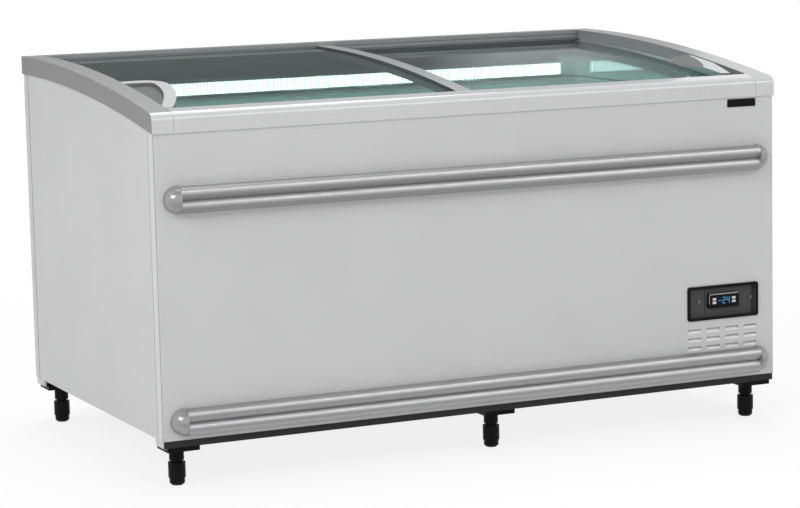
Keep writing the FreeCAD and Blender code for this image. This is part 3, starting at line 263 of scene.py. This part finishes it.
OVERHANG = 3 * MM  # of the rails past the cabinet
CROWN_DROP = 75 * MM  # how far the top falls from the back of the cabinet to its front
COLLAR_DROP = 60 * MM  # from the curved top down to the underside of the collar
rail_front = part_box("front_rail")[0]
rail_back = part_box("rear_rail")[1]
CABINET_DEPTH = rail_back.y - rail_front.y - 2 * OVERHANG
CROWN_RADIUS = (CABINET_DEPTH ** 2 + CROWN_DROP ** 2) / (2 * CROWN_DROP)
CROWN_Y = rail_back.y - OVERHANG
CROWN_Z = rail_back.z - CROWN_RADIUS


def under_crown(point):
    """How far a point lies under the curved top."""
    return CROWN_RADIUS - math.hypot(point.y - CROWN_Y, point.z - CROWN_Z)


def crown_height(y, drop):
    """Height at one depth of the line that lies a drop under the curved top."""
    return CROWN_Z + math.sqrt((CROWN_RADIUS - drop) ** 2 - (y - CROWN_Y) ** 2)


# Faces that differ from the rest of their node

# Least parts of a normal along an axis, from a face square to it down to one that leans its way a little
SQUARE, STEEP, HALF, NOSE, LEANING, SLIGHT = 0.9, 0.7, 0.5, 0.45, 0.3, 0.2


def paint_faces(node, look, wanted):
    """Put another material on the faces of a node whose middle and normal pass a test."""
    item = nodes[node]
    place = item.matrix_world
    turn = place.to_3x3()
    item.data.materials.append(MATERIALS[look])
    index = len(item.data.materials) - 1
    for face in item.data.polygons:
        middle = place @ face.center
        normal = (turn @ face.normal).normalized()
        if wanted(middle, normal):
            face.material_index = index


def every_face(middle, normal):
    """A test that each face passes."""
    return True


def paint_frame():
    """Painted shade on the side faces, a darker copy of the frame's grey, and a bright front nose, on both
    ends of the frame.
    """
    for side in SIDES:
        # painted shade on the faces square to X
        paint_faces(side + "_end_frame", "frame_side", lambda middle, normal: abs(normal.x) > STEEP)
        paint_faces(side + "_end_frame", "rail_silver", lambda middle, normal: normal.y < -NOSE)


def paint_front_panel():
    """Painted highlight on the returns round the cabinet's sides, and painted light on the upward slopes of
    the louvres.
    """
    margin = 5 * MM
    near_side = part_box("front_panel")[1].x - margin
    # painted highlight on the side returns
    paint_faces("front_panel", "return_paint",
                lambda middle, normal: abs(normal.x) > SQUARE and abs(middle.x) > near_side)
    # painted light on the louvres' upward slopes
    paint_faces("front_panel", "louvre_paint",
                lambda middle, normal: normal.y < -LEANING and normal.z > LEANING)


def paint_tub_mouth():
    """Dark collars at both ends, and the foam's face behind them."""
    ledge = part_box("right_collar")[1].x
    paint_faces("insulation_foam", "collar_plastic",
                lambda middle, normal: abs(abs(middle.x) - ledge) < MM and abs(normal.x) > SQUARE)
    for side in SIDES:
        paint_faces(side + "_collar", "grip_dark", every_face)


def paint_control_tray():
    """A grey floor in the black bezel, and the same grey as painted light on its right and lower walls,
    where they catch the light.
    """
    to_floor = 9 * MM  # a little less than from the rim to the floor
    low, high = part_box("control_bezel")
    near_floor = low.y + to_floor
    middle_x = (low.x + high.x) / 2
    middle_z = (low.z + high.z) / 2
    paint_faces("control_bezel", "tray_grey",
                lambda middle, normal: middle.y > near_floor and normal.y < -HALF)
    # painted light on the walls that face the light
    paint_faces("control_bezel", "tray_grey",
                lambda middle, normal: normal.x < -STEEP and middle.x > middle_x)
    paint_faces("control_bezel", "tray_grey",
                lambda middle, normal: normal.z > STEEP and middle.z < middle_z)


def paint_lids():
    """Painted shade: dark left faces on the lid bars, their shadowed side, and darker faces in the grips'
    dishes under their rims.
    """
    rim = 2.8 * MM
    for side in SIDES:
        # painted shade on the bar's shadowed left faces
        paint_faces(side + "_lid_bar", "collar_plastic", lambda middle, normal: normal.x < -HALF)
        # painted shade in the grip's dish below its rim
        paint_faces(side + "_lid_grip", "grip_dark", lambda middle, normal: under_crown(middle) > rim)
    # painted shade, glossy, on the right grip's dish faces that face left
    paint_faces("right_lid_grip", "grip_gloss",
                lambda middle, normal: under_crown(middle) > rim and normal.x < -SLIGHT)
    paint_faces("right_lid_grip", "grip_plastic",
                lambda middle, normal: normal.z < -LEANING and normal.x < -SLIGHT)


def paint_details():
    """All the faces that differ from the rest of their node."""
    paint_frame()
    paint_front_panel()
    paint_tub_mouth()
    paint_control_tray()
    paint_lids()
    paint_faces("foot_sockets", "foot_plastic", every_face)


# Fine pieces


def mesh_piece(name, form, look, body):
    """A finished mesh as a named piece on a body."""
    mesh = bpy.data.meshes.new(name)
    form.to_mesh(mesh)
    form.free()
    item = bpy.data.objects.new(name, mesh)
    bpy.context.scene.collection.objects.link(item)
    item.data.materials.append(MATERIALS[look])
    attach(item, body)


def add_block(form, low, high, bevel=0.0):
    """A block between two corners, with rounded edges on request."""
    low, high = Vector(low), Vector(high)
    made = bmesh.ops.create_cube(form, size=1.0)["verts"]
    size = high - low
    middle = (high + low) / 2
    place = Matrix.Translation(middle) @ Matrix.Diagonal((*size, 1))
    bmesh.ops.transform(form, matrix=place, verts=made)
    if bevel:
        edges = {edge for vert in made for edge in vert.link_edges}
        bmesh.ops.bevel(form, geom=list(edges), offset=bevel, segments=2, affect="EDGES", profile=0.5)


def add_light_chips():
    """A row of light emitting chips on the face of the strip's lens."""
    pitch = 9 * MM
    chip = Vector((4.5 * MM, 0.5 * MM, 26 * MM))
    rounding = 0.1 * MM
    low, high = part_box("light_lens")
    count = int((high.x - low.x) / pitch)
    start = (low.x + high.x) / 2 - (count - 1) * pitch / 2
    form = bmesh.new()
    for number in range(count):
        middle = Vector((start + number * pitch, low.y - chip.y / 2, (low.z + high.z) / 2))
        add_block(form, middle - chip / 2, middle + chip / 2, rounding)
    mesh_piece("light_chips", form, "light_chip", "cabinet")


def add_liner_shade():
    """Painted shadow: a dark backing over the light strip, for the collar's shadow, and the joint line
    round the tub at the strip's lower edge, darkened with painted shade under the strip.
    """
    liner_skin = 1 * MM
    proud = 0.3 * MM
    line = 3 * MM
    low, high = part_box("light_channel")
    tub_low, tub_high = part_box("tub_liner")
    back = high.y
    end = tub_high.x - liner_skin
    form = bmesh.new()
    add_block(form, (low.x, back - proud, high.z), (high.x, back, crown_height(back, COLLAR_DROP)))
    for near, far in ((-end, low.x), (high.x, end)):
        add_block(form, (near, back - proud, low.z), (far, back, low.z + line))
    for near, far in ((-end, -end + proud), (end - proud, end)):
        add_block(form, (near, tub_low.y + liner_skin, low.z), (far, back, low.z + line))
    mesh_piece("liner_shade", form, "collar_plastic", "cabinet")


SEGMENTS = {"-": "g", "2": "abdeg", "4": "bcfg"}


def add_digits():
    """Lit figures of seven segments on the display, and a small mark beside them."""
    width, height, line, step = 7.5 * MM, 15 * MM, 1.6 * MM, 11 * MM
    proud, sunk = 0.15 * MM, 0.05 * MM
    inset = 0.25 * MM  # leaves a gap between segments
    mark, mark_from_right, mark_from_top = 1.5 * MM, 4 * MM, 5 * MM
    low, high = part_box("display_lens")
    front, back = low.y - proud, low.y + sunk
    half = height / 2
    bars = {
        "a": (0, height - line, width, height),
        "b": (width - line, half, width, height),
        "c": (width - line, 0, width, half),
        "d": (0, 0, width, line),
        "e": (0, 0, line, half),
        "f": (0, half, line, height),
        "g": (0, half - line / 2, width, half + line / 2),
    }
    start = (low.x + high.x) / 2 - step - width / 2
    bottom = (low.z + high.z) / 2 - half
    form = bmesh.new()
    for number, figure in enumerate("-24"):
        left = start + number * step
        for segment in SEGMENTS[figure]:
            x0, z0, x1, z1 = bars[segment]
            add_block(form, (left + x0 + inset, front, bottom + z0 + inset),
                      (left + x1 - inset, back, bottom + z1 - inset))
    mark_x, mark_z = high.x - mark_from_right, high.z - mark_from_top
    add_block(form, (mark_x, front, mark_z), (mark_x + mark, back, mark_z + mark))
    mesh_piece("display_digits", form, "digit", "cabinet")


def add_recesses():
    """Cross recesses in the two screw heads of the control tray, as flat black marks of painted shade."""
    head_radius = 4 * MM
    arm, half_line = 2.4 * MM, 0.45 * MM
    proud, sunk = 0.06 * MM, 0.2 * MM
    low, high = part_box("control_screws")
    middle_z = (low.z + high.z) / 2
    form = bmesh.new()
    for middle_x in (low.x + head_radius, high.x - head_radius):
        for along, up in ((arm, half_line), (half_line, arm)):
            add_block(form, (middle_x - along, low.y - proud, middle_z - up),
                      (middle_x + along, low.y + sunk, middle_z + up))
    mesh_piece("screw_recesses", form, "foot_plastic", "cabinet")


def add_grille_screws():
    """Six flat screws round the rear grille."""
    inset = 6 * MM
    radius, thickness, out = 3.2 * MM, 1.0 * MM, 0.4 * MM
    low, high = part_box("rear_grille")
    lie_flat = Matrix.Rotation(math.radians(90), 4, "X")
    form = bmesh.new()
    for x in (low.x + inset, (low.x + high.x) / 2, high.x - inset):
        for z in (low.z + inset, high.z - inset):
            place = Matrix.Translation((x, high.y + out, z)) @ lie_flat
            bmesh.ops.create_cone(form, cap_ends=True, segments=20, radius1=radius, radius2=radius,
                                  depth=thickness, matrix=place)
    mesh_piece("grille_screws", form, "galvanised_sheet", "cabinet")


def add_controller_highlight():
    """A painted highlight: a light edge along the top and the left of the controller's face, where its
    bevel catches the light.
    """
    edge = 0.4 * MM  # of the face outside the painted highlight
    top_end, left_end = 3.2 * MM, 2.2 * MM  # where the highlight ends, from the top and from the left
    corner = 2.5 * MM
    left_start = 10 * MM
    proud, sunk = 0.1 * MM, 0.1 * MM
    low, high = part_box("controller")
    front, back = low.y - proud, low.y + sunk
    form = bmesh.new()
    add_block(form, (low.x + corner, front, high.z - top_end), (high.x - corner, back, high.z - edge))
    add_block(form, (low.x + edge, front, low.z + left_start), (low.x + left_end, back, high.z - corner))
    mesh_piece("controller_highlight", form, "cap_plastic", "cabinet")


def add_seams():
    """Dark joint lines on both sides, where the folded panels meet and along the front's fold, painted as
    the shadow in the gaps there.
    """
    below_top = 42 * MM  # just under the frame's lower edge
    proud, sunk = 0.12 * MM, 0.2 * MM
    fold = 2 * MM
    front_low, front_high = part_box("front_panel")
    side_low, side_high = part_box("left_side_panel")
    seams = (
        # depth and half width
        (front_low.y + fold, 1.2 * MM),
        (side_low.y, 0.6 * MM),
        (side_high.y, 1.3 * MM),
    )
    form = bmesh.new()
    for face, out in ((front_low.x, -1), (front_high.x, 1)):
        near, far = sorted((face - out * sunk, face + out * proud))
        for middle, half in seams:
            top = crown_height(middle, below_top)
            add_block(form, (near, middle - half, front_low.z), (far, middle + half, top))
    mesh_piece("panel_seams", form, "seam_dark", "cabinet")


dress_nodes()
paint_details()
add_controller_highlight()
add_seams()
add_light_chips()
add_liner_shade()
add_digits()
add_recesses()
add_grille_screws()

# Stage, lamps and camera


def seen_white(tree):
    """One for the rays that show the backdrop, from the camera, a mirror or a glass, and zero for light."""
    path = tree.nodes.new("ShaderNodeLightPath")
    total = path.outputs["Is Camera Ray"]
    for other in ("Is Glossy Ray", "Is Transmission Ray"):
        larger = tree.nodes.new("ShaderNodeMath")
        larger.operation = "MAXIMUM"
        tree.links.new(total, larger.inputs[0])
        tree.links.new(path.outputs[other], larger.inputs[1])
        total = larger.outputs["Value"]
    return total


def white_floor():
    """A pale floor that keeps the object's shadow near it and is white further out."""
    near, far = 0.9, 2.6  # distances from the object's middle
    near_white, far_white = 0.82, 1.0  # shares of plain white that the floor shows there
    bpy.ops.mesh.primitive_plane_add(size=80)
    floor = bpy.context.object
    floor.name = "floor"
    material, tree, principled, add = shader_tree("floor")
    set_inputs(principled, {"Base Color": (0.95, 0.95, 0.95, 1), "Roughness": 0.9})
    glow = add("ShaderNodeEmission")
    set_inputs(glow, {"Strength": 1.0})
    place = add("ShaderNodeTexCoord")
    away = add("ShaderNodeVectorMath", operation="LENGTH")
    fade = map_range(add, near, far, near_white, far_white)
    share = add("ShaderNodeMath", operation="MULTIPLY")
    mix = add("ShaderNodeMixShader")
    tree.links.new(place.outputs["Object"], away.inputs[0])
    tree.links.new(away.outputs["Value"], fade.inputs["Value"])
    tree.links.new(seen_white(tree), share.inputs[0])
    tree.links.new(fade.outputs["Result"], share.inputs[1])
    tree.links.new(share.outputs["Value"], mix.inputs["Fac"])
    tree.links.new(principled.outputs["BSDF"], mix.inputs[1])
    tree.links.new(glow.outputs["Emission"], mix.inputs[2])
    tree.links.new(mix.outputs["Shader"], tree.nodes["Material Output"].inputs["Surface"])
    floor.data.materials.append(material)


def white_world():
    """A world that looks white and lights the object with a plain fill."""
    world = bpy.data.worlds.new("studio")
    bpy.context.scene.world = world
    world.use_nodes = True
    tree = world.node_tree
    backdrop = tree.nodes["Background"]
    set_inputs(backdrop, {"Color": (1, 1, 1, 1)})
    fill = tree.nodes.new("ShaderNodeBackground")
    set_inputs(fill, {"Color": (0.98, 0.99, 1, 1), "Strength": 0.32})
    mix = tree.nodes.new("ShaderNodeMixShader")
    tree.links.new(seen_white(tree), mix.inputs["Fac"])
    tree.links.new(fill.outputs["Background"], mix.inputs[1])
    tree.links.new(backdrop.outputs["Background"], mix.inputs[2])
    tree.links.new(mix.outputs["Shader"], tree.nodes["World Output"].inputs["Surface"])


NO_FADE = (1, 2, 0)  # it starts at the upper edge


def studio_card(name, place, turn, size, tones, fade=NO_FADE):
    """A card that only mirrors and glass see.

    Its tones stand at shares of its length. The fade is the two shares of its height between which they
    go over to one tone, and that tone.
    """
    bpy.ops.mesh.primitive_plane_add(size=1, location=place, rotation=(math.radians(turn), 0, 0))
    card = bpy.context.object
    card.name = name
    card.scale = (*size, 1)
    material, tree, _, add = shader_tree(name)
    coordinates = add("ShaderNodeTexCoord")
    split = add("ShaderNodeSeparateXYZ")
    ramp = add("ShaderNodeValToRGB")
    stops = ramp.color_ramp.elements
    while len(stops) < len(tones):
        stops.new(1.0)
    for stop, (share, tone) in zip(stops, tones):
        stop.position = share
        stop.color = (tone, tone, tone, 1)
    fade_start, fade_end, fade_tone = fade
    upward = map_range(add, fade_start, fade_end)
    mix = add("ShaderNodeMixRGB")
    set_inputs(mix, {"Color2": (fade_tone, fade_tone, fade_tone, 1)})
    glow = add("ShaderNodeEmission")
    tree.links.new(coordinates.outputs["Generated"], split.inputs["Vector"])
    tree.links.new(split.outputs["X"], ramp.inputs["Fac"])
    tree.links.new(split.outputs["Y"], upward.inputs["Value"])
    tree.links.new(upward.outputs["Result"], mix.inputs["Fac"])
    tree.links.new(ramp.outputs["Color"], mix.inputs["Color1"])
    tree.links.new(mix.outputs["Color"], glow.inputs["Color"])
    tree.links.new(glow.outputs["Emission"], tree.nodes["Material Output"].inputs["Surface"])
    card.data.materials.append(material)
    card.visible_camera = False
    card.visible_diffuse = False
    card.visible_shadow = False


def add_cards():
    """What the glass, the rails and the bumpers mirror: a wall at the back, the floor and the ceiling."""
    studio_card("back_card", place=(-0.1, 3.2, 2.2), turn=90, size=(5.9, 2.9), fade=(0.28, 0.55, 0.16),
                tones=((0.79, 0.14), (0.845, 0.42), (0.89, 0.42), (0.95, 0.22)))
    studio_card("front_card", place=(0, -1.9, 0.003), turn=0, size=(7, 2.6),
                tones=((0.5, 0.52), (1.0, 0.62)))
    studio_card("ceiling_card", place=(0, -1.65, 3.4), turn=0, size=(7, 1.3),
                tones=((0.5, 0.35), (1.0, 0.45)))
    studio_card("right_ceiling_card", place=(2.85, -0.15, 3.4), turn=0, size=(3.3, 1.7),
                tones=((0.0, 0.42), (1.0, 0.45)))


def lamp(name, place, size, power):
    """A soft lamp of a width and a height, pointed at the object's middle."""
    target = Vector((0, 0, 0.5))
    light = bpy.data.lights.new(name, "AREA")
    light.shape = "RECTANGLE"
    light.size, light.size_y = size
    light.energy = power
    item = bpy.data.objects.new(name, light)
    item.location = place
    item.rotation_euler = (target - Vector(place)).to_track_quat("-Z", "Y").to_euler()
    bpy.context.scene.collection.objects.link(item)


def photo_camera():
    """The camera fitted to the photograph's corners of the cabinet."""
    place = Vector((-2.606, -5.6135, 1.255))
    yaw = math.radians(24.91)
    pitch = math.radians(7.94)
    roll = math.radians(-1.29)
    forward = Vector((math.sin(yaw) * math.cos(pitch), math.cos(yaw) * math.cos(pitch), -math.sin(pitch)))
    level_right = Vector((math.cos(yaw), -math.sin(yaw), 0))
    level_up = level_right.cross(forward)
    right = level_right * math.cos(roll) + level_up * math.sin(roll)
    up = level_up * math.cos(roll) - level_right * math.sin(roll)
    data = bpy.data.cameras.new("photo_camera")
    data.sensor_width = 36
    data.lens = 120.63
    data.clip_end = 200
    item = bpy.data.objects.new("photo_camera", data)
    turn = Matrix((right, up, -forward)).transposed().to_4x4()
    item.matrix_world = Matrix.Translation(place) @ turn
    bpy.context.scene.collection.objects.link(item)
    bpy.context.scene.camera = item


white_floor()
white_world()
add_cards()
lamp("key", place=(-4.4, -2.6, 3.9), size=(3.0, 3.0), power=165)
lamp("strip", place=(2.4, -4.3, 3.4), size=(4.0, 1.0), power=70)
lamp("top", place=(0.4, 1.0, 4.5), size=(2.6, 3.0), power=100)
photo_camera()
bpy.context.scene.view_settings.view_transform = "Standard"
